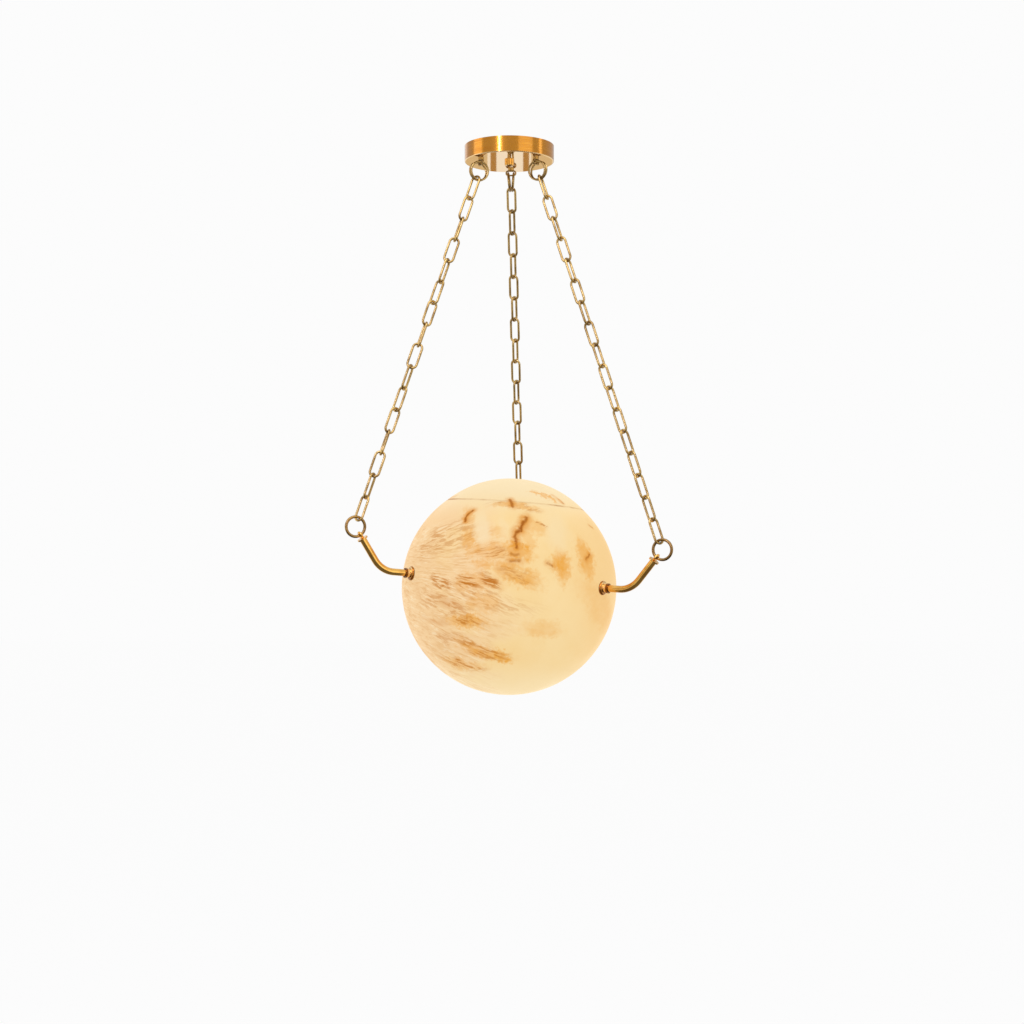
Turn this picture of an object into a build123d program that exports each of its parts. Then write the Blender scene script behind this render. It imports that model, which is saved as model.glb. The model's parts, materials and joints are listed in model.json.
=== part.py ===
from build123d import *
import math
import os
import numpy as np

# Pendant light: a hollow alabaster globe with a loose lid, carried by three bent brass arms
# on three chains from a brass ceiling canopy. Millimetres, +Z up.
# The origin is on the canopy's axis in the plane of the ceiling.
# +X is the viewer's right and +Y points away from the viewer.

# Ceiling crossbar and its nipple
crossbar_length = 104.0
crossbar_width = 22.0
crossbar_thickness = 2.0
slot_spacing = 79.4
slot_length = 14.5
slot_width = 5.0
nipple_diameter = 10.0
nipple_bore = 7.0
locknut_flats = 14.0
locknut_thickness = 4.0
ground_screw_diameter = 4.0
ground_screw_head = 7.5
ground_screw_head_height = 2.4
ground_screw_offset = 20.0
thread_play = 0.05

# Canopy, its nut and its three eyes
canopy_diameter = 125.0
canopy_height = 22.0
canopy_wall = 1.5
canopy_edge_radius = 1.2
canopy_nut_diameter = 13.0
canopy_nut_height = 5.0
canopy_nut_floor = 1.2
canopy_nut_edge_radius = 1.2
hole_play = 0.2
hook_radius = 44.0
chain_azimuth = 27.0
eye_wire = 2.2
eye_end_radius = 3.2
eye_straight = 7.2
eye_shoulder_diameter = 8.4
eye_shoulder_height = 2.0
eye_sink = 0.7
stud_diameter = 5.0
stud_overrun = 1.5
eye_washer_diameter = 11.0
eye_washer_thickness = 1.0
eye_nut_flats = 8.0
eye_nut_thickness = 4.0

# Rings under the canopy, two in each eye, spread where they hang and close where they carry
canopy_ring_diameter = 28.0
canopy_ring_wire = 2.8
ring_spread_top = 3.9
ring_spread_bottom = 1.6
eye_play = 0.7
ring_link_play = 0.8

# Chains: round wire links, each turned about a quarter or a little more against the next
links_left = 16
links_right = 17
links_back = 17
link_pitch = 31.6
link_wire = 3.3
link_width = 16.0
link_play = 0.3
arm_ring_play = 0.7

# For the left, right and back chain: how far its end links are turned from square to their
# rings, in degrees, and how many half turns the links make from end to end
low_link_turns = (24.0, -24.0, -24.0)
top_link_turns = (27.0, 10.0, -27.0)
chain_half_turns = (9, 8, 8)

# Alabaster globe and lid, measured from the globe's centre
globe_diameter = 300.0
stone_wall = 12.0
seam_height = 115.0
lid_rise = 37.5
lip_depth = 6.0
lip_wall = 8.0
lip_play = 0.8
stone_edge_radius = 0.8

# Arms: straight through the stone, one bend up, then an end eye with its ring
arm_height = 8.5
arm_diameter = 9.5
arm_bore = 6.5
arm_straight = 27.34
arm_overrun = 3.7
bend_radius = 35.0
bend_angle = 53.0
arm_rise = 32.85
arm_flange_diameter = 14.5
arm_flange_thickness = 2.0
arm_spigot_length = 8.0
arm_eye_radius = 4.2
arm_eye_wire = 3.2
arm_eye_sink = 1.4
arm_ring_diameter = 30.5
arm_ring_wire = 4.0
arm_seat_play = 0.3

# Arm fittings, from the outside of the stone to the inside
arm_hole_diameter = 12.0
outer_seat_depth = 0.6
inner_seat_depth = 0.5
seat_margin = 1.0
outer_gasket_diameter = 18.0
outer_gasket_thickness = 0.8
rosette_diameter = 19.4
rosette_thickness = 3.0
rosette_edge_radius = 2.4
neck_diameter = 11.5
neck_length = 4.5
collar_diameter = 13.5
collar_length = 2.5
inner_washer_diameter = 20.0
inner_gasket_thickness = 1.0
inner_washer_thickness = 1.5
arm_nut_flats = 14.0
arm_nut_thickness = 5.0
arm_fit = 0.1

# Lamp inside the globe
spider_thickness = 2.0
spider_width = 16.0
spider_hub_diameter = 44.0
spider_height = -42.0
spider_leg_setback = 21.7
spider_tab_top = 12.0
spider_tab_bottom = 18.0
spider_bend_radius = 8.0
holder_base_diameter = 28.0
holder_diameter = 38.0
holder_height = 52.0
holder_neck_height = 16.0
holder_bore = 27.4
holder_floor = 22.0
holder_nipple_reach = 9.0
holder_nut_flats = 14.0
holder_nut_thickness = 4.0
cap_diameter = 26.4
cap_height = 26.0
cap_tip_diameter = 10.0
cap_tip_height = 3.0
bulb_play = 0.3
bulb_diameter = 60.0
bulb_height = 80.0
bulb_taper_angle = 35.0

# Cord inlet through the back of the bowl
grommet_azimuth_offset = 24.0
grommet_hole = 12.0
grommet_flange = 17.0
grommet_lip = 2.0
grommet_bore = 6.5

# How far a cut runs past the outside of the globe, and how near to the seam an edge of it lies
cut_overrun = 1.0
seam_tolerance = 0.01

# Values worked out from the driving dimensions
chain_names = ("left", "right", "back")
chain_angles = [chain_azimuth + 180 + place * 360 / len(chain_names) for place in range(len(chain_names))]
link_counts = (links_left, links_right, links_back)
globe_radius = globe_diameter / 2
inner_radius = globe_radius - stone_wall
mouth_radius = math.sqrt(inner_radius**2 - seam_height**2)
seam_radius = math.sqrt(globe_radius**2 - seam_height**2)
canopy_floor = -canopy_height
canopy_inside = canopy_floor + canopy_wall
stud_hole_radius = stud_diameter / 2 + hole_play
eye_loop_top = -eye_shoulder_height + eye_sink - eye_wire / 2
eye_loop_bottom = eye_loop_top - 2 * eye_end_radius
canopy_ring_radius = (canopy_ring_diameter - canopy_ring_wire) / 2
arm_ring_radius = (arm_ring_diameter - arm_ring_wire) / 2
link_end_radius = (link_width - link_wire) / 2
link_half = (link_pitch + link_play + link_wire) / 2
outer_seat = math.sqrt(globe_radius**2 - arm_height**2) - outer_seat_depth
inner_seat = math.sqrt(inner_radius**2 - arm_height**2) + inner_seat_depth
arm_clear_radius = arm_diameter / 2 + arm_fit

# Distances along a chain, measured up from the centre of its arm ring
last_link_low = arm_ring_radius - (arm_ring_wire + link_wire) / 2 - arm_ring_play
ring_in_link = link_end_radius - (link_wire + canopy_ring_wire) / 2 - ring_link_play
ring_seat = link_end_radius - math.sqrt(ring_in_link**2 - ring_spread_bottom**2)
ring_lean = math.asin((ring_spread_top - ring_spread_bottom) / (2 * canopy_ring_radius))
ring_span = 2 * canopy_ring_radius * math.cos(ring_lean)
eye_seat = (canopy_ring_wire + eye_wire) / 2 + eye_play


def ring_low(count):
    return last_link_low + 2 * link_half + (count - 1) * link_pitch - ring_seat


def chain_length(count):
    return ring_low(count) + ring_span - eye_seat


def polar(radius, degrees, height):
    angle = math.radians(degrees)
    return np.array([radius * math.cos(angle), radius * math.sin(angle), height])


# What clamps an arm to the stone, measured out from the globe's axis
inner_gasket_low = inner_seat - inner_gasket_thickness
inner_washer_low = inner_gasket_low - inner_washer_thickness
spider_tab = inner_washer_low - spider_thickness
arm_nut_low = spider_tab - arm_nut_thickness
arm_inner_end = arm_nut_low - arm_overrun
bend_start = outer_seat + arm_straight
spider_leg_reach = spider_tab - spider_leg_setback

# The arm's centreline ends on its flange, and its ring hangs out from there along the arm
bend = math.radians(bend_angle)
arm_direction = (math.cos(bend), math.sin(bend))
rise_start = (
    bend_start + bend_radius * math.sin(bend),
    arm_height + bend_radius * (1 - math.cos(bend)),
)
arm_tip = tuple(start + arm_rise * part for start, part in zip(rise_start, arm_direction))
arm_eye_centre = arm_flange_thickness - arm_eye_sink + arm_eye_wire / 2 + arm_eye_radius
ring_wire_place = arm_eye_centre + arm_eye_radius - (arm_eye_wire + arm_ring_wire) / 2 - arm_seat_play
ring_reach = ring_wire_place + arm_ring_radius
ring_place = tuple(tip + ring_reach * part for tip, part in zip(arm_tip, arm_direction))


def turn_matrix(vector):
    angle = np.linalg.norm(vector)
    if angle < 1e-12:
        return np.eye(3)
    x, y, z = vector / angle
    cross = np.array([[0, -z, y], [z, 0, -x], [-y, x, 0]])
    return np.eye(3) + math.sin(angle) * cross + (1 - math.cos(angle)) * cross @ cross


# The globe hangs where three taut chains balance its weight. The unknowns are its place, its
# turn and the share of the weight on each chain, found by Newton's method from a level start.
def hanging_pose(hooks, rings, lengths):
    def imbalance(state):
        centre, turn, loads = state[:3], turn_matrix(state[3:6]), state[6:]
        arms = [turn @ ring for ring in rings]
        pulls = [hook - centre - arm for hook, arm in zip(hooks, arms)]
        forces = [load * pull / length for load, pull, length in zip(loads, pulls, lengths)]
        lift = sum(forces) - np.array([0, 0, 1])
        moment = sum(np.cross(arm, force) for arm, force in zip(arms, forces)) / globe_radius
        stretch = [(np.linalg.norm(pull) - length) / length for pull, length in zip(pulls, lengths)]
        return np.concatenate([lift, moment, stretch])

    drop = math.sqrt(np.mean(lengths) ** 2 - (ring_place[0] - hook_radius) ** 2)
    state = np.zeros(9)
    state[2] = hooks[0][2] - drop - ring_place[1]
    state[6:] = 1 / 3
    place_step, turn_step, rounds = 1e-4, 1e-6, 25
    steps = np.diag([place_step] * 3 + [turn_step] * 6)
    for _ in range(rounds):
        error = imbalance(state)
        slope = [(imbalance(state + step) - error) / step.max() for step in steps]
        state = state - np.linalg.solve(np.array(slope).T, error)
    return state[:3], turn_matrix(state[3:6])


hook_points = [polar(hook_radius, angle, canopy_floor + eye_loop_bottom) for angle in chain_angles]
ring_points = [polar(ring_place[0], angle, ring_place[1]) for angle in chain_angles]
chain_lengths = [chain_length(count) for count in link_counts]
globe_centre, globe_turn = hanging_pose(hook_points, ring_points, chain_lengths)
globe_pose = Plane(
    origin=tuple(globe_centre), x_dir=tuple(globe_turn[:, 0]), z_dir=tuple(globe_turn[:, 2])
).location
arm_poses = [globe_pose * Rot(0, 0, angle) for angle in chain_angles]

os.makedirs("parts", exist_ok=True)


def save(name, *solids):
    shape = solids[0] if len(solids) == 1 else Compound(children=list(solids))
    export_step(shape, f"parts/{name}.step")


def save_set(name, make):
    save(name, *[pose * make() for pose in arm_poses])


# A disc or tube of revolution between two heights on Z
def turned(radius, low, high, bore=0.0):
    face = Pos((radius + bore) / 2, (low + high) / 2) * Rectangle(radius - bore, high - low)
    return revolve(Plane.XZ * face, Axis.Z)


def hexagon_nut(flats, low, high, bore):
    blank = extrude(Pos(0, 0, low) * RegularPolygon(flats / 2, 6, major_radius=False), high - low)
    return blank - turned(bore, low, high)


# A closed loop of round wire in the XZ plane: two straight sides and two half-round ends
def wire_loop(half_height, end_radius, wire):
    straight = 2 * (half_height - end_radius)
    section = Pos(end_radius, 0) * Circle(wire / 2)
    side = extrude(Pos(0, 0, -straight / 2) * section, straight)
    bow = Pos(0, 0, straight / 2) * Rot(90, 0, 0) * revolve(Plane.XZ * section, Axis.Z, 180)
    half = side + bow
    return half + Rot(0, 180, 0) * half


# Ceiling crossbar with its nipple, locknut and earth screw
def ceiling_crossbar():
    bar = Pos(0, 0, -crossbar_thickness / 2) * Box(crossbar_length, crossbar_width, crossbar_thickness)
    for side in (-1, 1):
        slot = Pos(side * slot_spacing / 2, 0, -crossbar_thickness) * SlotOverall(slot_length, slot_width)
        bar -= extrude(slot, crossbar_thickness)
    bar -= turned(nipple_diameter / 2 + thread_play, -crossbar_thickness, 0)
    screw_hole = turned(ground_screw_diameter / 2 + thread_play, -crossbar_thickness, 0)
    return bar - Pos(ground_screw_offset, 0, 0) * screw_hole


def ground_screw():
    seat = -crossbar_thickness
    screw = turned(ground_screw_head / 2, seat - ground_screw_head_height, seat)
    screw += turned(ground_screw_diameter / 2, seat, 0)
    return Pos(ground_screw_offset, 0, 0) * screw


nipple_end = canopy_floor - canopy_nut_height + canopy_nut_floor
nipple_clear_radius = nipple_diameter / 2 + thread_play

save("ceiling_crossbar", ceiling_crossbar())
save("crossbar_nipple", turned(nipple_diameter / 2, nipple_end, 0, nipple_bore / 2))
save(
    "nipple_locknut",
    hexagon_nut(
        locknut_flats, -crossbar_thickness - locknut_thickness, -crossbar_thickness, nipple_clear_radius
    ),
)
save("ground_screw", ground_screw())


# Canopy: a turned cup, open at the ceiling, with a hole for the nipple and one for each eye
def canopy():
    outer = canopy_diameter / 2
    cup = turned(outer, canopy_floor, 0)
    cup = fillet(cup.edges().group_by(Axis.Z)[0], canopy_edge_radius)
    cup -= turned(outer - canopy_wall, canopy_inside, 0)
    cup -= turned(nipple_diameter / 2 + hole_play, canopy_floor, canopy_inside)
    stud_hole = turned(stud_hole_radius, canopy_floor, canopy_inside)
    for angle in chain_angles:
        cup -= Rot(0, 0, angle) * Pos(hook_radius, 0, 0) * stud_hole
    return cup


def canopy_nut():
    low = canopy_floor - canopy_nut_height
    nut = turned(canopy_nut_diameter / 2, low, canopy_floor)
    nut = fillet(nut.edges().group_by(Axis.Z)[0], canopy_nut_edge_radius)
    nut -= turned(nipple_clear_radius, nipple_end, canopy_floor)
    return nut - turned(nipple_bore / 2 + hole_play, low, nipple_end)


# Each eye: a stud through the canopy, a shoulder against it and a flat-sided loop below
def canopy_eye():
    stud_top = canopy_wall + eye_washer_thickness + eye_nut_thickness + stud_overrun
    eye = turned(stud_diameter / 2, -eye_shoulder_height / 2, stud_top)
    eye += turned(eye_shoulder_diameter / 2, -eye_shoulder_height, 0)
    half_width = eye_straight / 2 + eye_end_radius
    loop = Rot(0, 90, 0) * wire_loop(half_width, eye_end_radius, eye_wire)
    return eye + Pos(0, 0, eye_loop_top - eye_end_radius) * loop


def eye_washer():
    top = canopy_wall + eye_washer_thickness
    return turned(eye_washer_diameter / 2, canopy_wall, top, stud_hole_radius)


def eye_nut():
    low = canopy_wall + eye_washer_thickness
    return hexagon_nut(eye_nut_flats, low, low + eye_nut_thickness, stud_diameter / 2 + thread_play)


# An eye's own frame has X along the canopy's rim and Z up, with its origin on the canopy's underside
hook_poses = [Rot(0, 0, angle) * Pos(hook_radius, 0, canopy_floor) * Rot(0, 0, 90) for angle in chain_angles]

save("canopy", canopy())
save("canopy_nut", canopy_nut())
for chain, pose in zip(chain_names, hook_poses):
    save(f"canopy_eye_{chain}", pose * canopy_eye())
save("eye_washers", *[pose * eye_washer() for pose in hook_poses])
save("eye_nuts", *[pose * eye_nut() for pose in hook_poses])


# A chain's own frame has Z up along the chain from its arm ring, and X along the canopy's rim
def chain_pose(index):
    ring = globe_centre + globe_turn @ ring_points[index]
    rim = polar(1, chain_angles[index] + 90, 0)
    pull = hook_points[index] - ring
    return Plane(origin=tuple(ring), x_dir=tuple(rim), z_dir=tuple(pull)).location


# A link along X is square to the rings. The turn from link to link is even along a chain.
def chain_links(index):
    count = link_counts[index]
    link = wire_loop(link_half, link_end_radius, link_wire)
    start = low_link_turns[index]
    turn = (180 * chain_half_turns[index] + top_link_turns[index] - start) / (count - 1)
    low = last_link_low + link_half
    turns = [Rot(0, 0, start + place * turn) for place in range(count)]
    return [Pos(0, 0, low + place * link_pitch) * turns[place] * link for place in range(count)]


def canopy_ring_pair(count):
    middle = ring_low(count) + ring_span / 2
    spread = (ring_spread_top + ring_spread_bottom) / 2
    ring = Rot(0, 90, 0) * Torus(canopy_ring_radius, canopy_ring_wire / 2)
    lean = math.degrees(ring_lean)
    return [Pos(side * spread, 0, middle) * Rot(0, side * lean, 0) * ring for side in (-1, 1)]


for index, (chain, count) in enumerate(zip(chain_names, link_counts)):
    pose = chain_pose(index)
    save(f"canopy_rings_{chain}", *[pose * ring for ring in canopy_ring_pair(count)])
    save(f"chain_{chain}", *[pose * link for link in chain_links(index)])


# An arm's own frame has X out from the globe's axis and Z up it, with its origin at the globe's centre
def along_arm(shape):
    return Pos(0, 0, arm_height) * Rot(0, 90, 0) * shape


def arm():
    start = (arm_inner_end, 0, arm_height)
    corner = (bend_start, 0, arm_height)
    rise = (rise_start[0], 0, rise_start[1])
    tip = (arm_tip[0], 0, arm_tip[1])
    path = Line(start, corner) + TangentArc(corner, rise, tangent=(1, 0, 0)) + Line(rise, tip)
    section = Circle(arm_diameter / 2) - Circle(arm_bore / 2)
    return sweep(Plane(origin=start, z_dir=(1, 0, 0)) * section, path)


# The arm's end eye: a spigot in the tube, a flange on its end and a round loop across the ring
def arm_eye():
    eye = turned(arm_bore / 2 - thread_play, -arm_spigot_length, arm_flange_thickness / 2)
    eye += turned(arm_flange_diameter / 2, 0, arm_flange_thickness)
    loop = Rot(0, 90, 0) * Torus(arm_eye_radius, arm_eye_wire / 2)
    return eye + Pos(0, 0, arm_eye_centre) * loop


def arm_ring():
    return Pos(0, 0, ring_reach) * Rot(90, 0, 0) * Torus(arm_ring_radius, arm_ring_wire / 2)


# An arm's end has Z along the arm, and is turned about it until the chain pulls in the ring's plane
def arm_end_pose(index):
    pull = globe_turn.T @ (hook_points[index] - globe_centre) - ring_points[index]
    outward = pull @ polar(1, chain_angles[index], 0)
    across = pull @ polar(1, chain_angles[index] + 90, 0)
    lift = arm_direction[0] * pull[2] - arm_direction[1] * outward
    turn = math.degrees(math.atan2(-across, lift))
    return Pos(arm_tip[0], 0, arm_tip[1]) * Rot(0, 90 - bend_angle, 0) * Rot(0, 0, turn)


def outer_gasket():
    top = outer_seat + outer_gasket_thickness
    return along_arm(turned(outer_gasket_diameter / 2, outer_seat, top, arm_clear_radius))


def rosette():
    low = outer_seat + outer_gasket_thickness
    disc = turned(rosette_diameter / 2, low, low + rosette_thickness)
    disc = fillet(disc.edges().group_by(Axis.Z)[-1], rosette_edge_radius)
    return along_arm(disc - turned(arm_clear_radius, low, low + rosette_thickness))


def collar():
    low = outer_seat + outer_gasket_thickness + rosette_thickness
    middle = low + neck_length
    sleeve = turned(neck_diameter / 2, low, middle, arm_clear_radius)
    return along_arm(sleeve + turned(collar_diameter / 2, middle, middle + collar_length, arm_clear_radius))


def inner_gasket():
    return along_arm(turned(inner_washer_diameter / 2, inner_gasket_low, inner_seat, arm_clear_radius))


def inner_washer():
    return along_arm(turned(inner_washer_diameter / 2, inner_washer_low, inner_gasket_low, arm_clear_radius))


def arm_nut():
    return along_arm(hexagon_nut(arm_nut_flats, arm_nut_low, spider_tab, arm_clear_radius))


for index, (chain, pose) in enumerate(zip(chain_names, arm_poses)):
    end_pose = pose * arm_end_pose(index)
    save(f"arm_{chain}", pose * arm())
    save(f"arm_eye_{chain}", end_pose * arm_eye())
    save(f"arm_ring_{chain}", end_pose * arm_ring())
save_set("outer_gaskets", outer_gasket)
save_set("arm_rosettes", rosette)
save_set("arm_collars", collar)
save_set("inner_gaskets", inner_gasket)
save_set("inner_washers", inner_washer)
save_set("arm_nuts", arm_nut)


# The widest edge of a stone piece at the seam, rounded off
def soften_seam(stone):
    low, high = seam_height - seam_tolerance, seam_height + seam_tolerance
    edges = stone.edges().filter_by_position(Axis.Z, low, high)
    return fillet(edges.sort_by(SortBy.LENGTH)[-1], stone_edge_radius)


# Alabaster bowl: a hollow sphere cut off flat at the seam, with flat seats round the arm holes
def stone_arc(radius):
    low = (0, -radius)
    side = (radius, 0)
    high = (math.sqrt(radius**2 - seam_height**2), seam_height)
    return low, ThreePointArc(low, side, high), high


grommet_angle = chain_angles[2] + grommet_azimuth_offset
grommet_pose = Rot(0, 0, grommet_angle)
grommet_outer = math.sqrt(globe_radius**2 - arm_height**2 - (grommet_flange / 2) ** 2)
grommet_inner = math.sqrt(inner_radius**2 - arm_height**2) + inner_seat_depth


def alabaster_bowl():
    outer_low, outer, outer_high = stone_arc(globe_radius)
    inner_low, inner, inner_high = stone_arc(inner_radius)
    profile = make_face(outer + Line(outer_high, inner_high) + inner + Line(inner_low, outer_low))
    stone = soften_seam(revolve(Plane.XZ * profile, Axis.Z))
    outer_spot = turned(rosette_diameter / 2 + seat_margin, outer_seat, globe_radius + cut_overrun)
    inner_spot = turned(inner_washer_diameter / 2 + seat_margin, arm_inner_end, inner_seat)
    arm_hole = turned(arm_hole_diameter / 2, arm_inner_end, globe_radius + cut_overrun)
    for angle in chain_angles:
        stone -= Rot(0, 0, angle) * along_arm(outer_spot + inner_spot + arm_hole)
    flange_spot = turned(grommet_flange / 2 + seat_margin, grommet_outer, globe_radius + cut_overrun)
    flange_spot += turned(grommet_flange / 2 + seat_margin, arm_inner_end, grommet_inner)
    flange_spot += turned(grommet_hole / 2, arm_inner_end, globe_radius + cut_overrun)
    return stone - grommet_pose * along_arm(flange_spot)


# The lid: a shallow cap of even wall on the bowl's rim, with a lip inside the mouth to centre it
def alabaster_lid():
    cap_radius = (seam_radius**2 + lid_rise**2) / (2 * lid_rise)
    cap_centre = seam_height + lid_rise - cap_radius
    lip_outer = mouth_radius - lip_play
    lip_inner = lip_outer - lip_wall
    lip_low = seam_height - lip_depth

    def dome(radius, reach):
        return (reach, cap_centre + math.sqrt(radius**2 - reach**2))

    hollow_radius = cap_radius - stone_wall
    crown, flank, rim = (dome(cap_radius, reach) for reach in (0, seam_radius / 2, seam_radius))
    corner, vault, top = (dome(hollow_radius, reach) for reach in (lip_inner, lip_inner / 2, 0))
    lip = Polyline(rim, (lip_outer, seam_height), (lip_outer, lip_low), (lip_inner, lip_low), corner)
    outside = ThreePointArc(crown, flank, rim)
    inside = ThreePointArc(corner, vault, top)
    cap = revolve(Plane.XZ * make_face(outside + lip + inside + Line(top, crown)), Axis.Z)
    return soften_seam(cap)


def cord_grommet():
    low = grommet_inner - grommet_lip
    high = grommet_outer + grommet_lip
    sleeve = turned(grommet_hole / 2 - arm_fit, low, high)
    sleeve += turned(grommet_flange / 2, low, grommet_inner)
    sleeve += turned(grommet_flange / 2, grommet_outer, high)
    return grommet_pose * along_arm(sleeve - turned(grommet_bore / 2, low, high))


save("alabaster_bowl", globe_pose * alabaster_bowl())
save("alabaster_lid", globe_pose * alabaster_lid())
save("cord_grommet", globe_pose * cord_grommet())


# Lamp spider: a hub plate with three legs bent up to the inner ends of the arms
def spider_leg():
    middle = spider_height + spider_thickness / 2
    tab = spider_tab + spider_thickness / 2
    line = FilletPolyline(
        (spider_hub_diameter / 4, middle),
        (spider_leg_reach, middle),
        (tab, arm_height - spider_tab_bottom),
        (tab, arm_height + spider_tab_top),
        radius=spider_bend_radius,
    )
    leg = extrude(Plane.XZ * trace(line, spider_thickness), spider_width / 2, both=True)
    return leg - along_arm(turned(arm_clear_radius, spider_leg_reach, globe_radius))


def lamp_spider():
    plate = turned(spider_hub_diameter / 2, spider_height, spider_height + spider_thickness)
    for angle in chain_angles:
        plate += Rot(0, 0, angle) * spider_leg()
    return plate - turned(nipple_clear_radius, spider_height, spider_height + spider_thickness)


holder_low = spider_height + spider_thickness
holder_top = holder_low + holder_height
cap_low = holder_low + holder_floor + bulb_play
cap_top = cap_low + cap_tip_height + cap_height


def lamp_holder():
    neck = holder_low + holder_neck_height
    profile = Polyline(
        (0, holder_low),
        (holder_base_diameter / 2, holder_low),
        (holder_diameter / 2, neck),
        (holder_diameter / 2, holder_top),
        (holder_bore / 2, holder_top),
        (holder_bore / 2, holder_low + holder_floor),
        (0, holder_low + holder_floor),
        close=True,
    )
    body = revolve(Plane.XZ * make_face(profile), Axis.Z)
    return body - turned(nipple_clear_radius, holder_low, holder_low + holder_nipple_reach)


def holder_nipple():
    low = spider_height - holder_nut_thickness - stud_overrun
    return turned(nipple_diameter / 2, low, holder_low + holder_nipple_reach, nipple_bore / 2)


def bulb_cap():
    shoulder = cap_low + cap_tip_height
    cap = turned(cap_tip_diameter / 2, cap_low, shoulder)
    return cap + turned(cap_diameter / 2, shoulder, cap_top)


# The bulb's glass: a round head that runs down to the cap in one even taper
def bulb_envelope():
    head = bulb_diameter / 2
    crown = cap_top + bulb_height
    centre = crown - head
    neck = cap_diameter / 2
    taper = math.radians(bulb_taper_angle)
    tangent = (head * math.cos(taper), centre - head * math.sin(taper))
    bow = ThreePointArc((0, crown), (head, centre), tangent)
    flank = Spline(tangent, (neck, cap_top), tangents=[(-math.sin(taper), -math.cos(taper)), (0, -1)])
    profile = make_face(bow + flank + Polyline((neck, cap_top), (0, cap_top), (0, crown)))
    return revolve(Plane.XZ * profile, Axis.Z)


save("lamp_spider", globe_pose * lamp_spider())
save("lamp_holder", globe_pose * lamp_holder())
save("holder_nipple", globe_pose * holder_nipple())
save(
    "holder_nut",
    globe_pose
    * hexagon_nut(holder_nut_flats, spider_height - holder_nut_thickness, spider_height, nipple_clear_radius),
)
save("bulb_cap", globe_pose * bulb_cap())
save("bulb_envelope", globe_pose * bulb_envelope())

print("globe centre", np.round(globe_centre, 3), "axis", np.round(globe_turn[:, 2], 5))
for chain, hook, ring in zip(chain_names, hook_points, ring_points):
    print(chain, "hook", np.round(hook, 3), "ring", np.round(globe_centre + globe_turn @ ring, 3))
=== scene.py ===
import json
import math
import bpy
from mathutils import Matrix, Vector


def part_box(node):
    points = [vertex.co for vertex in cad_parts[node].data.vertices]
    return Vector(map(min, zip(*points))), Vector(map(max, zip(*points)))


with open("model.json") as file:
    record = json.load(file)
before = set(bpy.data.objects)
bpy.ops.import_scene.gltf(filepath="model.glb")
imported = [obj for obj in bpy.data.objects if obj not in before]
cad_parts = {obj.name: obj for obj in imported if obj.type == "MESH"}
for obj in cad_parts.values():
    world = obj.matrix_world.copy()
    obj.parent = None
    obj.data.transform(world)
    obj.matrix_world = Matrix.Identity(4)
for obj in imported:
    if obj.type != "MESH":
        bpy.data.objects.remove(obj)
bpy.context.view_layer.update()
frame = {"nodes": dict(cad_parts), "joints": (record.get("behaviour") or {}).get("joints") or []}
nodes = frame["nodes"]
joints = {joint["name"]: joint for joint in frame["joints"]}
print("frame loaded,", len(nodes), "nodes")

# the globe hangs a little askew, its centre and axis are those of its joints
globeCentre = Vector(joints["bulb_turn"]["pos_m"])
globeAxis = Vector(joints["lid_lift"]["axis"]).normalized()
bowlLow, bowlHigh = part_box("alabaster_bowl")
globeRadius = (bowlHigh.x - bowlLow.x) / 2

view = {
    "place": (0.0038, -2.2, -0.538),  # metres, level and square to the lamp
    "lens": 55.2,
    "sensor": 36.0,
    "shiftUp": 0.018,
    "frameSize": 1024,
}
focal = view["lens"] / view["sensor"] * view["frameSize"]  # in picture points
horizonRow = view["frameSize"] * (0.5 + view["shiftUp"])


def onGlobe(column, row):
    # the point of the unit globe that shows at a point of the picture
    sight = Vector(((column - view["frameSize"] / 2) / focal, 1, (horizonRow - row) / focal)).normalized()
    away = globeCentre - Vector(view["place"])
    along = sight.dot(away)
    depth = math.sqrt(max(globeRadius**2 - away.length_squared + along**2, 0))
    return (sight * (along - depth) - away) / globeRadius


def tone(red, green, blue):
    # a colour as it is read off a screen, in linear light
    shares = [value / 255 for value in (red, green, blue)]
    return tuple(s / 12.92 if s <= 0.04045 else ((s + 0.055) / 1.055) ** 2.4 for s in shares) + (1.0,)


class Wire:
    tree = None  # the node tree that new nodes join

    def __init__(self, socket):
        self.socket = socket

    @classmethod
    def node(cls, kind, settings, values, out=0):
        made = cls.tree.nodes.new("ShaderNode" + kind)
        for name, value in settings.items():
            setattr(made, name, value)
        cls.plug(made, values)
        return cls(made.outputs[out])

    @classmethod
    def plug(cls, made, values):
        for name, value in values.items():
            if isinstance(value, Wire):
                cls.tree.links.new(value.socket, made.inputs[name])
            else:
                made.inputs[name].default_value = value

    def math(self, operation, other=0.0, swap=False):
        pair = {0: other, 1: self} if swap else {0: self, 1: other}
        return Wire.node("Math", {"operation": operation}, pair)

    def __add__(self, other):
        return self.math("ADD", other)

    def __sub__(self, other):
        return self.math("SUBTRACT", other)

    def __rsub__(self, other):
        return self.math("SUBTRACT", other, True)

    def __mul__(self, other):
        return self.math("MULTIPLY", other)

    __radd__ = __add__
    __rmul__ = __mul__


def spread(values, low, high):
    # a soft step from 0 at low to 1 at high
    return Wire.node("MapRange", {"interpolation_type": "SMOOTHSTEP"}, {
        "Value": values, "From Min": low, "From Max": high})


def mixed(share, first, second, how="MIX"):
    return Wire.node("Mix", {"data_type": "RGBA", "blend_type": how}, {0: share, 6: first, 7: second}, 2)


def dimmed(colour, share):
    return mixed(1.0, colour, (share, share, share, 1.0), "MULTIPLY")


def moved(place, how, other):
    return Wire.node("VectorMath", {"operation": how}, {0: place, 1: other})


def measured(how, place, other=(0, 0, 0)):
    # a number from one or two vectors
    return Wire.node("VectorMath", {"operation": how}, {0: place, 1: other}, "Value")


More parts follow.
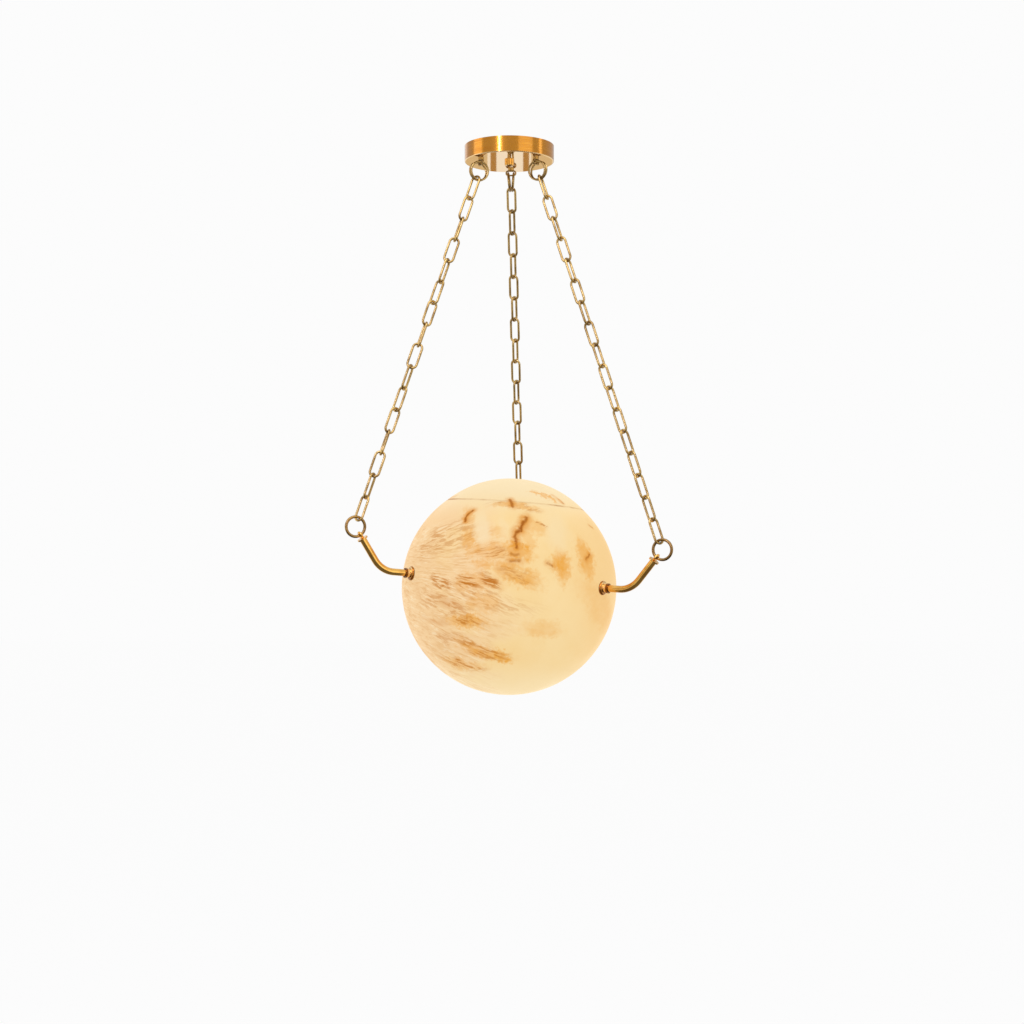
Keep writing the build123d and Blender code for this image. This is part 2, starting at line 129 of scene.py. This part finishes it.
def placed(place, scale, rotation=(0, 0, 0), location=(0, 0, 0), kind="POINT"):
    return Wire.node("Mapping", {"vector_type": kind}, {
        "Vector": place, "Location": location, "Rotation": rotation, "Scale": scale})


def cloud(place, scale, detail=3.0, rough=0.5, warp=0.0, out=0):
    return Wire.node("TexNoise", {}, {
        "Vector": place, "Scale": scale, "Detail": detail, "Roughness": rough, "Distortion": warp}, out)


def bumped(height, strength, distance):
    return Wire.node("Bump", {}, {"Height": height, "Strength": strength, "Distance": distance})


def newFinish(name):
    material = bpy.data.materials.new(name)
    material.use_nodes = True
    Wire.tree = material.node_tree
    return material, material.node_tree.nodes["Principled BSDF"]


def objectPlace():
    return Wire.node("TexCoord", {}, {}, "Object")


def onNodes(material, *names):
    for name in names:
        for slot in nodes[name].material_slots:
            slot.material = material


# brass: the colour where it is bright and where it is dull, its roughness and its coat of lacquer
brassTones = {
    "canopy_brass": {
        "bright": tone(220, 152, 50), "dull": tone(190, 116, 20), "rough": 0.13, "coat": 0.45},
    "canopy_painted_reflection": {
        # the underside of the canopy: its pale colours are a painted reflection of the light below it, also
        # given to the arms' necks
        "bright": tone(246, 212, 158), "dull": tone(238, 196, 132), "rough": 0.025, "coat": 0.2},
    "chain_brass": {
        "bright": tone(192, 160, 98), "dull": tone(142, 112, 64), "rough": 0.22, "coat": 0.1},
    "arm_brass": {
        "bright": tone(234, 180, 88), "dull": tone(206, 146, 58), "rough": 0.11, "coat": 0.3},
    "ring_brass": {
        "bright": tone(158, 122, 68), "dull": tone(104, 76, 40), "rough": 0.2, "coat": 0.1},
    "collar_brass": {
        "bright": tone(176, 110, 34), "dull": tone(112, 66, 18), "rough": 0.2, "coat": 0.2},
}

# chains, rings, eyes and arms
brassWear = {
    "patina": {"scale": 45.0, "detail": 4.0, "rough": 0.6},
    "patinaStep": (0.38, 0.68),
    "patinaRough": 0.08,
    "grain": {"scale": 700.0, "detail": 2.0},
    "grainRough": 0.04,
    "lacquerRough": 0.08,
}


def brassFinish(name):
    settings, wear = brassTones[name], brassWear
    material, surface = newFinish(name)
    place = objectPlace()
    patina = spread(cloud(place, **wear["patina"]), *wear["patinaStep"])
    grain = cloud(place, **wear["grain"])
    Wire.plug(surface, {
        "Base Color": mixed(patina, settings["bright"], settings["dull"]),
        "Metallic": 1.0,
        "Roughness": settings["rough"] + wear["patinaRough"] * patina + wear["grainRough"] * grain,
        "Coat Weight": settings["coat"],
        "Coat Roughness": wear["lacquerRough"],
    })
    return material


# canopy: the side is brushed round, the underside is turned and polished, and its pale colour is a painted
# reflection of the light below it
canopyWork = {
    "lowerEdge": (-0.0205, -0.0215),  # heights between which the side gives way to the underside
    "brushStretch": (16, 16, 2400),
    "brush": {"scale": 1.0, "detail": 3.0, "rough": 0.7},
    "brushStep": (0.35, 0.68),
    "brushRough": 0.12,
    "brushBump": 0.06,
    "brushDepth": 0.0001,  # metres
    "turning": 7000.0,  # radians of the tool's rings in a metre
    "turningWobble": 3.0,
    "wobble": {"scale": 300.0},
    "turningRough": 0.015,
    "lacquerRough": 0.06,
}


def brushedCanopy():
    side, paintedReflection, work = brassTones["canopy_brass"], brassTones["canopy_painted_reflection"], canopyWork
    material, surface = newFinish("canopy_brass_painted_reflection")
    place = objectPlace()
    under = spread(Wire.node("SeparateXYZ", {}, {0: place}, "Z"), *work["lowerEdge"])
    lines = cloud(placed(place, work["brushStretch"]), **work["brush"])
    streak = spread(lines, *work["brushStep"])
    radius = measured("LENGTH", moved(place, "MULTIPLY", (1, 1, 0)))
    wave = radius * work["turning"] + work["turningWobble"] * cloud(place, **work["wobble"])
    rings = spread(wave.math("SINE"), -1.0, 1.0)
    brushed = mixed(streak, side["bright"], side["dull"])
    # the underside's colour is a painted reflection, laid out in the rings of the turning
    paintedReflectionFace = mixed(rings, paintedReflection["bright"], paintedReflection["dull"])
    sideRough = side["rough"] + work["brushRough"] * streak
    underRough = paintedReflection["rough"] + work["turningRough"] * rings
    Wire.plug(surface, {
        "Base Color": mixed(under, brushed, paintedReflectionFace),
        "Metallic": 1.0,
        "Roughness": (1 - under) * sideRough + under * underRough,
        "Coat Weight": side["coat"] - (side["coat"] - paintedReflection["coat"]) * under,
        "Coat Roughness": work["lacquerRough"],
        "Normal": bumped((1 - under) * lines, work["brushBump"], work["brushDepth"]),
    })
    return material


# from the stone outwards: a brown rosette, a pale neck and a dark collar
collarWork = {
    "neckFrom": 0.1532, "neckTo": 0.1574,  # metres from the middle of the globe
    "edge": 0.0003,
    "patina": {"scale": 160.0, "detail": 4.0, "rough": 0.6},
    "patinaStep": (0.35, 0.7),
    "patinaShare": 0.4, "collarShare": 0.6,  # how far each goes to the dull colour
    "patinaRough": 0.1,
    "lacquerRough": 0.1,
}


def collarFinish():
    settings, pale, work = brassTones["collar_brass"], brassTones["canopy_painted_reflection"], collarWork
    neckFrom, neckTo, edge = work["neckFrom"], work["neckTo"], work["edge"]
    material, surface = newFinish("arm_collar_brass")
    place = objectPlace()
    reach = measured("DISTANCE", place, globeCentre)
    neck = spread(reach, neckFrom - edge, neckFrom + edge) * spread(reach, neckTo + edge, neckTo - edge)
    collar = spread(reach, neckTo - edge, neckTo + edge)
    patina = spread(cloud(place, **work["patina"]), *work["patinaStep"])
    age = work["patinaShare"] * patina + work["collarShare"] * collar
    brown = mixed(age, settings["bright"], settings["dull"])
    # the neck takes the pale colour of the canopy's painted reflection
    Wire.plug(surface, {
        "Base Color": mixed(neck, brown, pale["dull"]),
        "Metallic": 1.0,
        "Roughness": settings["rough"] + work["patinaRough"] * patina,
        "Coat Weight": settings["coat"],
        "Coat Roughness": work["lacquerRough"],
    })
    return material


sides = ("left", "right", "back")
onNodes(brushedCanopy(), "canopy")
onNodes(brassFinish("chain_brass"),
        *(f"{kind}_{side}" for kind in ("chain", "canopy_rings", "canopy_eye") for side in sides))
onNodes(brassFinish("ring_brass"), *(f"arm_ring_{side}" for side in sides))
onNodes(brassFinish("arm_brass"), "canopy_nut",
        *(f"{kind}_{side}" for kind in ("arm", "arm_eye") for side in sides))
onNodes(collarFinish(), "arm_rosettes", "arm_collars")
print("brass done")

# alabaster: most of its tone shines from within, the rest is lit from outside
stone = {
    "cream": tone(250, 220, 162),
    "honey": tone(248, 214, 151),
    "blush": tone(245, 206, 155),
    "top": tone(246, 225, 182),
    "base": tone(251, 227, 178),
    "warm": tone(248, 207, 142),
    "tan": tone(218, 158, 84),
    "wash": tone(236, 162, 48),
    "streak": tone(198, 122, 36),
    "stain": tone(222, 142, 36),
    "vein": tone(168, 92, 4),
    "pale": tone(255, 238, 200),
    "smear": tone(226, 172, 114),
    "litShare": 0.12,
    "glowShare": 0.875,
    "rough": 0.42,
    "mottleRough": 0.12,
    "gloss": 0.1,
    "bump": 0.05,
    "bumpDepth": 0.001,  # metres
}

# marks, each a run from one point of the picture to another, with its half width in picture points and its
# strength
cracks = (
    (527.2, 517.2, 521.8, 525.6, 2.0, 1.0), (521.8, 525.6, 516.0, 532.5, 2.0, 1.0),
    (516.0, 532.5, 514.6, 537.0, 1.7, 1.0), (514.6, 537.0, 517.4, 547.0, 1.6, 1.0),
    (521.8, 525.6, 520.2, 530.5, 1.5, 1.0), (472.4, 510.0, 467.0, 516.0, 1.5, 1.0),
    (467.0, 516.0, 465.6, 521.5, 1.3, 1.0), (510.0, 499.6, 512.3, 507.6, 1.5, 0.8),
    (512.0, 553.8, 519.0, 554.4, 1.6, 0.5), (510.5, 560.6, 520.0, 560.2, 1.7, 0.55),
    (547.0, 562.5, 552.5, 566.2, 1.3, 0.6), (586.5, 560.0, 589.5, 554.5, 1.3, 0.7),
    (589.5, 525.5, 592.5, 528.0, 0.9, 0.5), (440.5, 504.2, 447.0, 499.6, 0.8, 0.7),
    (447.0, 499.6, 455.5, 496.4, 0.8, 0.6), (552.4, 496.0, 562.8, 503.6, 0.9, 0.8),
)
marks = {
    # core is the share of a mark's reach that has its full strength
    "wash": {"core": 0.4, "runs": (
        (530, 492, 558, 501, 5, 0.85), (506, 548, 530, 552, 10, 1.0), (559, 554, 563, 577, 12, 0.95),
        (581, 542, 590, 572, 13, 0.9), (522, 530, 533, 546, 8, 0.55), (498, 567, 538, 583, 12, 0.8),
        (512, 578, 534, 583, 7, 0.9), (494, 652, 507, 660, 9, 1.0), (456, 644, 508, 659, 10, 0.7),
        (526, 628, 558, 630, 12, 0.4), (490, 503, 541, 508, 6, 0.6), (448, 620, 483, 622, 8, 0.85),
        (526, 519, 541, 531, 10, 0.5), (468, 528, 470, 553, 8, 0.65), (472, 548, 512, 554, 11, 0.6),
        (475, 565, 490, 566, 7, 0.6), (493, 531, 502, 535, 8, 0.45), (442, 660, 483, 669, 9, 0.55),
        (590, 585, 612, 628, 18, 0.3), (470, 603, 496, 605, 11, 0.45), (456, 582, 500, 584, 10, 0.55),
        (466, 508, 474, 524, 6, 0.5),
    )},
    "streak": {"core": 0.3, "runs": (
        (456, 579, 480, 587, 7, 1.0), (481, 576, 499, 586, 7, 1.0), (430, 578, 452, 587, 7, 0.9),
        (474, 548, 511, 555, 8, 0.7), (420, 548, 470, 528, 24, 0.45), (430, 590, 536, 610, 12, 0.4),
        (441, 658, 483, 671, 7, 0.9), (456, 643, 508, 659, 10, 0.75), (488, 501, 541, 510, 6, 0.75),
        (448, 618, 482, 624, 5, 0.8), (500, 568, 537, 584, 9, 0.5), (425, 630, 470, 644, 9, 0.35),
        (536, 522.5, 548, 529.5, 2.5, 0.9), (414, 590, 470, 616, 14, 0.4),
    )},
    "smear": {"core": 0.2, "runs": (
        (433, 598, 465, 609, 8, 0.95), (419, 619, 448, 623, 5, 0.8), (428, 632, 468, 642, 8, 0.35),
    )},
    "clear": {"core": 0.3, "runs": (
        (482, 509, 483, 545, 7.5, 0.9), (503, 515, 503, 540, 6, 0.5), (556, 518, 558, 546, 16, 0.75),
    )},
    "vein": {"core": 0.1, "wider": 1.0, "runs": cracks},
    "halo": {"core": 0.0, "wider": 3.2, "runs": cracks},
}
markShape = {
    "radiusPoints": 107,  # picture points in the globe's radius
    "endPoints": 150,  # the same at the ends of a soft mark, which are blunt
    "crackPoints": 76,  # and across a crack, which bleeds into the stone
    "depth": 0.6,  # in globe radii
    "fadeOut": 1.15,  # in a mark's own reach
}


def softMark(place, run, kind):
    fromColumn, fromRow, toColumn, toRow, halfWidth, strength = run
    start, end = onGlobe(fromColumn, fromRow), onGlobe(toColumn, toRow)
    out = onGlobe((fromColumn + toColumn) / 2, (fromRow + toRow) / 2)
    across = out.cross(end - start).normalized()
    turn = Matrix((across.cross(out), across, out)).transposed().to_euler()
    length = (end - start).length / 2 + halfWidth / markShape["endPoints"]
    reach = (length, halfWidth / markShape["radiusPoints"], markShape["depth"])
    inMark = placed(place, reach, turn, out, "TEXTURE")
    return spread(measured("LENGTH", inMark), markShape["fadeOut"], kind["core"]) * strength


def crack(place, run, kind):
    fromColumn, fromRow, toColumn, toRow, halfWidth, strength = run
    start, end = onGlobe(fromColumn, fromRow), onGlobe(toColumn, toRow)
    line = end - start
    off = moved(place, "SUBTRACT", start)
    share = Wire.node("Clamp", {}, {0: measured("DOT_PRODUCT", off, line / line.length_squared)})
    foot = Wire.node("VectorMath", {"operation": "SCALE"}, {0: line, "Scale": share})
    reach = kind["wider"] * halfWidth / markShape["crackPoints"]
    return spread(measured("DISTANCE", off, foot), reach, reach * kind["core"]) * strength


def gathered(place, name, shape=softMark):
    # the strongest of all marks of one kind
    strongest, *others = (shape(place, run, marks[name]) for run in marks[name]["runs"])
    for mask in others:
        strongest = strongest.math("MAXIMUM", mask)
    return strongest


# noise that shifts the marks and the layers, with how far it shifts each of them, in globe radii
shifts = {
    "sway": {"scale": 5.0, "detail": 4.0, "rough": 0.6},
    "shiver": {"scale": 26.0, "detail": 3.0, "rough": 0.6},
    "looseSway": 0.16,
    "raggedShiver": 0.16,
    "tightSway": 0.06,
    "tightShiver": 0.022,
    "layerSway": 0.05,
}


def drift(place, noise):
    return moved(cloud(place, **noise, out="Color"), "SUBTRACT", (0.5, 0.5, 0.5))


def shifted(place, noise, amount):
    return moved(place, "ADD", moved(noise, "MULTIPLY", (amount, amount, amount)))


# layers of the stone, which rise to the right above the middle and dip to the right below it
layers = {
    "dip": 0.36, "turn": 0.68, "turnHeights": (0.05, 0.42),
    "levelAtBack": (0.2, -0.2), "levelBeyond": 0.35,
    "wispStretch": (4.2, 4.2, 14.0),
    "wisps": {"scale": 1.0, "detail": 4.0, "rough": 0.62, "warp": 0.9},
    "wispStep": (0.46, 0.66),
    "threadStretch": (8.5, 8.5, 42.0),
    "threads": {"scale": 1.0, "detail": 4.0, "rough": 0.6, "warp": 0.6},
    "strandStep": (0.51, 0.64), "bundleStep": (0.45, 0.6), "paleStep": (0.45, 0.34),
}
blots = {
    "mottle": {"scale": 2.1, "detail": 4.0, "rough": 0.55}, "mottleStep": (0.35, 0.68),
    "blotch": {"scale": 11.0, "detail": 5.0, "rough": 0.65}, "blotchStep": (0.4, 0.6),
    "patchy": {"scale": 13.0, "detail": 3.0, "rough": 0.6}, "patchyStep": (0.3, 0.54),
}


def bedded(along, depth, height, sway):
    slope = layers["dip"] - layers["turn"] * spread(height, *layers["turnHeights"])
    slope = slope * spread(depth, *layers["levelAtBack"])
    bed = height + slope * along.math("MINIMUM", layers["levelBeyond"])
    bedding = shifted(Wire.node("CombineXYZ", {}, {0: along, 1: depth, 2: bed}), sway, shifts["layerSway"])
    wisps = spread(cloud(placed(bedding, layers["wispStretch"]), **layers["wisps"]), *layers["wispStep"])
    threads = cloud(placed(bedding, layers["threadStretch"]), **layers["threads"])
    return wisps, threads


# the joint under the lid, in globe radii from the middle
seam = {
    "level": 0.7667,
    "reach": (0.011, 0.003),
    "skin": (0.972, 0.99),  # only the outside is shaded
    "least": 0.14, "patches": 0.5,
    "noise": {"scale": 3.0, "detail": 3.0}, "noiseStep": (0.46, 0.62),
}


def seamShade(unit):
    offSeam = (measured("DOT_PRODUCT", unit, globeAxis) - seam["level"]).math("ABSOLUTE")
    outside = spread(measured("LENGTH", unit), *seam["skin"])
    patches = spread(cloud(unit, **seam["noise"]), *seam["noiseStep"])
    return outside * spread(offSeam, *seam["reach"]) * (seam["least"] + seam["patches"] * patches)


# how strong each tone is, and where on the globe it sets in and is full, in globe radii from the middle
zones = {
    "blush": 0.8, "leftStep": (0.35, -0.45), "leftMottle": 0.5,
    "warm": 0.75, "warmStep": (0.4, 0.97),
    "base": 0.8, "baseStep": (-0.55, -0.95),
    "top": 0.85, "topStep": (0.62, 0.92),
}
# veining: where it lies beside the left, and how strong its wisps, strands and pale lines are
veining = {
    "back": 0.85, "backStep": (-0.05, 0.45), "backMottle": 0.3,
    "belowLid": (0.68, 0.5),
    "lidBack": 0.75, "lidBackStep": (-0.35, 0.05),
    "wisps": 0.28, "strands": 0.36, "strandsLeast": 0.35, "pale": 0.45,
}
# least strength of a mark, and what the noise adds to it
paint = {
    "wash": 0.6, "washWisps": 0.22, "washBlotch": 0.18, "washClear": 0.8,
    "smear": 0.55, "smearStrands": 0.45,
    "streak": 0.06, "streakBundles": 0.94,
    "clear": 0.55,
    "halo": 0.45, "haloPatches": 0.45,
    "vein": 0.45, "veinPatches": 0.5,
    "shownDepth": (0.02, 0.14), "flipDepth": 0.001,
}


def groundTone(along, height, mottle, leftness):
    colour = mixed(mottle, stone["cream"], stone["honey"])
    colour = mixed(zones["blush"] * leftness, colour, stone["blush"])
    for name, place in (("warm", along), ("base", height), ("top", height)):
        colour = mixed(zones[name] * spread(place, *zones[name + "Step"]), colour, stone[name])
    return colour


def veinedBand(depth, height, mottle, leftness):
    # the veined part: the left side and the back, and of the lid only its back
    back = spread(depth + veining["backMottle"] * mottle, *veining["backStep"])
    veined = leftness.math("MAXIMUM", veining["back"] * back)
    lidBack = veining["lidBack"] * spread(depth, *veining["lidBackStep"])
    return veined * spread(height, *veining["belowLid"]).math("MAXIMUM", lidBack)


def alabasterFinish():
    material, surface = newFinish("alabaster_veined")
    unit = moved(moved(objectPlace(), "SUBTRACT", globeCentre), "DIVIDE", (globeRadius,) * 3)
    along, depth, height = (Wire.node("SeparateXYZ", {}, {0: unit}, name) for name in "XYZ")
    # the marks are repeated, half a turn on, over the far side, and fade out between the two
    flip = 1 - 2 * spread(depth, -paint["flipDepth"], paint["flipDepth"])
    faced = moved(unit, "MULTIPLY", Wire.node("CombineXYZ", {}, {0: flip, 1: flip, 2: 1.0}))
    shown = spread(depth.math("ABSOLUTE"), *paint["shownDepth"])
    sway, shiver = drift(unit, shifts["sway"]), drift(unit, shifts["shiver"])
    loose = shifted(faced, sway, shifts["looseSway"])
    ragged = shifted(loose, shiver, shifts["raggedShiver"])
    tight = shifted(shifted(faced, sway, shifts["tightSway"]), shiver, shifts["tightShiver"])

    wisps, threads = bedded(along, depth, height, sway)
    mottle, blotch, patchy = (
        spread(cloud(unit, **blots[name]), *blots[name + "Step"])
        for name in ("mottle", "blotch", "patchy"))
    strands, bundles, pale = (
        spread(threads, *layers[name + "Step"]) for name in ("strand", "bundle", "pale"))
    strands = strands * (veining["strandsLeast"] + (1 - veining["strandsLeast"]) * blotch)
    leftness = spread(along + zones["leftMottle"] * mottle, *zones["leftStep"])

    wash = gathered(ragged, "wash") * shown
    streak, smear, clear = (gathered(loose, name) * shown for name in ("streak", "smear", "clear"))
    vein, halo = (gathered(tight, name, crack) * shown for name in ("vein", "halo"))

    band = veinedBand(depth, height, mottle, leftness)
    grain = veining["wisps"] * wisps + veining["strands"] * strands
    washed = paint["wash"] + paint["washWisps"] * wisps + paint["washBlotch"] * blotch
    colour = groundTone(along, height, mottle, leftness)
    for share, name in (
        (grain * band * (1 - clear), "tan"),
        (veining["pale"] * pale * band, "pale"),
        (wash * washed * (1 - paint["washClear"] * clear), "wash"),
        (smear * (paint["smear"] + paint["smearStrands"] * strands), "smear"),
        (streak * (paint["streak"] + paint["streakBundles"] * bundles) * (1 - clear), "streak"),
        (paint["clear"] * clear, "top"),
        (halo * (paint["halo"] + paint["haloPatches"] * patchy), "stain"),
        (vein * (paint["vein"] + paint["veinPatches"] * patchy), "vein"),
        (seamShade(unit), "vein"),
    ):
        colour = mixed(share, colour, stone[name])
    Wire.plug(surface, {
        "Base Color": dimmed(colour, stone["litShare"]),
        "Emission Color": dimmed(colour, stone["glowShare"]),
        "Emission Strength": 1.0,
        "Roughness": stone["rough"] + stone["mottleRough"] * mottle,
        "Specular IOR Level": stone["gloss"],
        "Normal": bumped(wisps, stone["bump"], stone["bumpDepth"]),
    })
    return material


onNodes(alabasterFinish(), "alabaster_bowl", "alabaster_lid")
print("alabaster done")

# the fittings that hold the lamp together, most of them out of sight
fittings = {
    "zinc_steel": {
        "first": tone(176, 178, 180), "second": tone(138, 140, 146),
        "metal": 1.0, "rough": 0.34, "grain": 160.0},
    "green_screw": {
        "first": tone(38, 120, 62), "second": tone(28, 92, 48),
        "metal": 0.55, "rough": 0.32, "grain": 260.0},
    "black_rubber": {
        "first": tone(42, 40, 38), "second": tone(26, 25, 24),
        "metal": 0.0, "rough": 0.72, "grain": 420.0},
    "white_ceramic": {
        "first": tone(236, 233, 224), "second": tone(226, 221, 208),
        "metal": 0.0, "rough": 0.18, "grain": 60.0},
    "bulb_metal": {
        "first": tone(206, 206, 204), "second": tone(178, 178, 178),
        "metal": 1.0, "rough": 0.28, "grain": 240.0},
}
fittingGrain = {
    "detail": 4.0, "rough": 0.6, "step": (0.35, 0.65), "grainRough": 0.14,
    "bump": 0.1, "depth": 0.0003,  # metres
}


def fittingFinish(name):
    settings, look = fittings[name], fittingGrain
    material, surface = newFinish(name)
    grain = cloud(objectPlace(), settings["grain"], look["detail"], look["rough"])
    Wire.plug(surface, {
        "Base Color": mixed(spread(grain, *look["step"]), settings["first"], settings["second"]),
        "Metallic": settings["metal"],
        "Roughness": settings["rough"] + look["grainRough"] * grain,
        "Normal": bumped(grain, look["bump"], look["depth"]),
    })
    return material


bulb = {
    "first": tone(255, 246, 226), "second": tone(252, 238, 212),
    "frost": {"scale": 300.0, "detail": 3.0}, "frostStep": (0.3, 0.7),
    "glow": 0.8, "rough": 0.38, "frostRough": 0.1,
}


def frostedBulb():
    material, surface = newFinish("bulb_frosted_glass")
    frost = cloud(objectPlace(), **bulb["frost"])
    colour = mixed(spread(frost, *bulb["frostStep"]), bulb["first"], bulb["second"])
    Wire.plug(surface, {
        "Base Color": colour,
        "Emission Color": colour,
        "Emission Strength": bulb["glow"],
        "Roughness": bulb["rough"] + bulb["frostRough"] * frost,
    })
    return material


onNodes(fittingFinish("zinc_steel"), "ceiling_crossbar", "crossbar_nipple", "nipple_locknut", "eye_washers",
        "eye_nuts", "inner_washers", "arm_nuts", "lamp_spider", "holder_nipple", "holder_nut")
onNodes(fittingFinish("green_screw"), "ground_screw")
onNodes(fittingFinish("black_rubber"), "outer_gaskets", "inner_gaskets", "cord_grommet")
onNodes(fittingFinish("white_ceramic"), "lamp_holder")
onNodes(fittingFinish("bulb_metal"), "bulb_cap")
onNodes(frostedBulb(), "bulb_envelope")
print("fittings done")

# studio, in metres
white, bronze, gold = (1, 1, 1, 1), (0.46, 0.26, 0.08, 1), (0.72, 0.58, 0.36, 1)
studio = {
    "whiteLevel": 0.973,  # of the background, as it is seen
    "roomLight": 0.5,
    "floorHeight": -2.1,
    "floorSize": 40.0,
    "floorColour": (0.9, 0.9, 0.9, 1),
    "floorRough": 0.9,
    "floorShare": 0.94,  # of plain white in the floor, as it is seen
    "lamps": (
        # place, what it faces, width, height, watts, colour
        ((-1.26, -2.7, 0.8), (0, 0, -0.3), 0.24, 2.4, 28.0, (0.9, 0.92, 1.7)),  # cool stripe on the canopy
        ((-2.4, -0.1, 0.1), (0, 0, -0.3), 1.2, 2.2, 8.0, (1, 1, 1)),
        ((2.4, -0.15, 0.1), (0, 0, -0.3), 0.36, 2.2, 3.2, (1, 1, 1)),
        ((1.9, -2.1, -0.1), (0, 0, -0.4), 1.9, 1.8, 8.5, (1, 1, 1)),
        ((0.0, -1.2, 1.4), (0, 0, -0.4), 2.6, 1.6, 26.0, (1, 1, 1)),
    ),
}
# cards that only metal sees
cards = {
    "ground": {"size": 4.4, "place": (0, -1.4, -1.8), "level": 0.18},
    # a grey wall round the front, to reach degrees either side of it
    "wall": {"radius": 3.3, "low": -0.7, "high": 1.0, "reach": 166, "steps": 48, "level": 0.6},
    # strips behind the lamp, mirrored by the underside of the canopy: sideways place, width, colour
    "strips": (
        (-0.040, 0.014, bronze), (0.037, 0.014, bronze), (-0.080, 0.052, gold), (0.074, 0.050, gold)),
    "stripDepth": 1.5, "stripHeight": -0.375, "stripTall": 0.15, "stripLevel": 1.0,
}


def clearSelection():
    bpy.ops.object.select_all(action="DESELECT")


def seenRays():
    # what the eye, metal and glass see
    path = Wire.tree.nodes.new("ShaderNodeLightPath")
    seen = Wire(path.outputs["Is Camera Ray"])
    for name in ("Is Glossy Ray", "Is Transmission Ray"):
        seen = seen.math("MAXIMUM", Wire(path.outputs[name]))
    return seen


def makeRoom():
    world = bpy.data.worlds.new("studioWorld")
    world.use_nodes = True
    bpy.context.scene.world = world
    Wire.tree = world.node_tree
    level = seenRays() * (studio["whiteLevel"] - studio["roomLight"]) + studio["roomLight"]
    Wire.plug(world.node_tree.nodes["Background"], {"Color": white, "Strength": level})


def makeFloor():
    clearSelection()
    bpy.ops.mesh.primitive_plane_add(size=studio["floorSize"], location=(0, 0, studio["floorHeight"]))
    floor = bpy.context.object
    floor.name = "studio_floor"
    material, surface = newFinish("studio_floor_white")
    Wire.plug(surface, {"Base Color": studio["floorColour"], "Roughness": studio["floorRough"]})
    glow = Wire.node("Emission", {}, {"Color": white, "Strength": 1.0})
    share = seenRays() * studio["floorShare"]
    both = Wire.node("MixShader", {}, {0: share, 1: Wire(surface.outputs[0]), 2: glow})
    Wire.plug(material.node_tree.nodes["Material Output"], {"Surface": both})
    floor.data.materials.append(material)


def finishCard(name, level, colour=white):
    card = bpy.context.object
    card.name = name
    material = newFinish(name + "_tone")[0]
    glow = Wire.node("Emission", {}, {"Color": colour, "Strength": level})
    Wire.plug(material.node_tree.nodes["Material Output"], {"Surface": glow})
    card.data.materials.append(material)
    card.visible_camera = card.visible_diffuse = card.visible_shadow = card.visible_transmission = False


def makeGroundCard():
    clearSelection()
    bpy.ops.mesh.primitive_plane_add(size=cards["ground"]["size"], location=cards["ground"]["place"])
    finishCard("dark_ground_card", cards["ground"]["level"])


def makeWallCard():
    # one upright edge, swept round the front of the lamp
    wall = cards["wall"]
    clearSelection()
    bpy.ops.mesh.primitive_plane_add(size=1)
    bpy.ops.object.mode_set(mode="EDIT")
    bpy.ops.mesh.select_all(action="SELECT")
    bpy.ops.mesh.merge(type="CENTER")
    reach = math.radians(wall["reach"])
    start = (-wall["radius"] * math.sin(reach), -wall["radius"] * math.cos(reach), wall["low"])
    bpy.ops.transform.translate(value=start)
    bpy.ops.mesh.extrude_vertices_move(TRANSFORM_OT_translate={"value": (0, 0, wall["high"] - wall["low"])})
    bpy.ops.mesh.select_all(action="SELECT")
    bpy.ops.mesh.spin(steps=wall["steps"], angle=2 * reach, center=(0, 0, 0), axis=(0, 0, 1))
    bpy.ops.object.mode_set(mode="OBJECT")
    finishCard("dark_wall_card", wall["level"])


def makeStripCards():
    for number, (sideways, width, colour) in enumerate(cards["strips"]):
        clearSelection()
        place = (sideways, cards["stripDepth"], cards["stripHeight"])
        bpy.ops.mesh.primitive_plane_add(size=1, location=place, rotation=(math.radians(90), 0, 0))
        bpy.context.object.scale = (width, cards["stripTall"], 1)
        finishCard(f"strip_card_{number}", cards["stripLevel"], colour)


def makeLamps():
    for number, (place, target, width, height, watts, colour) in enumerate(studio["lamps"]):
        clearSelection()
        bpy.ops.object.light_add(type="AREA", location=place)
        lamp = bpy.context.object
        lamp.name = f"soft_box_{number}"
        lamp.rotation_euler = (Vector(target) - Vector(place)).to_track_quat("-Z", "Y").to_euler()
        lamp.data.shape = "RECTANGLE"
        lamp.data.size = width
        lamp.data.size_y = height
        lamp.data.energy = watts
        lamp.data.color = colour


def makeCamera():
    clearSelection()
    bpy.ops.object.camera_add(location=view["place"], rotation=(math.radians(90), 0, 0))
    camera = bpy.context.object
    camera.data.lens = view["lens"]
    camera.data.sensor_width = view["sensor"]
    camera.data.shift_y = view["shiftUp"]
    bpy.context.scene.camera = camera


makeRoom()
makeFloor()
makeGroundCard()
makeWallCard()
makeStripCards()
makeLamps()
makeCamera()
bpy.context.scene.view_settings.view_transform = "Standard"
print("studio done")
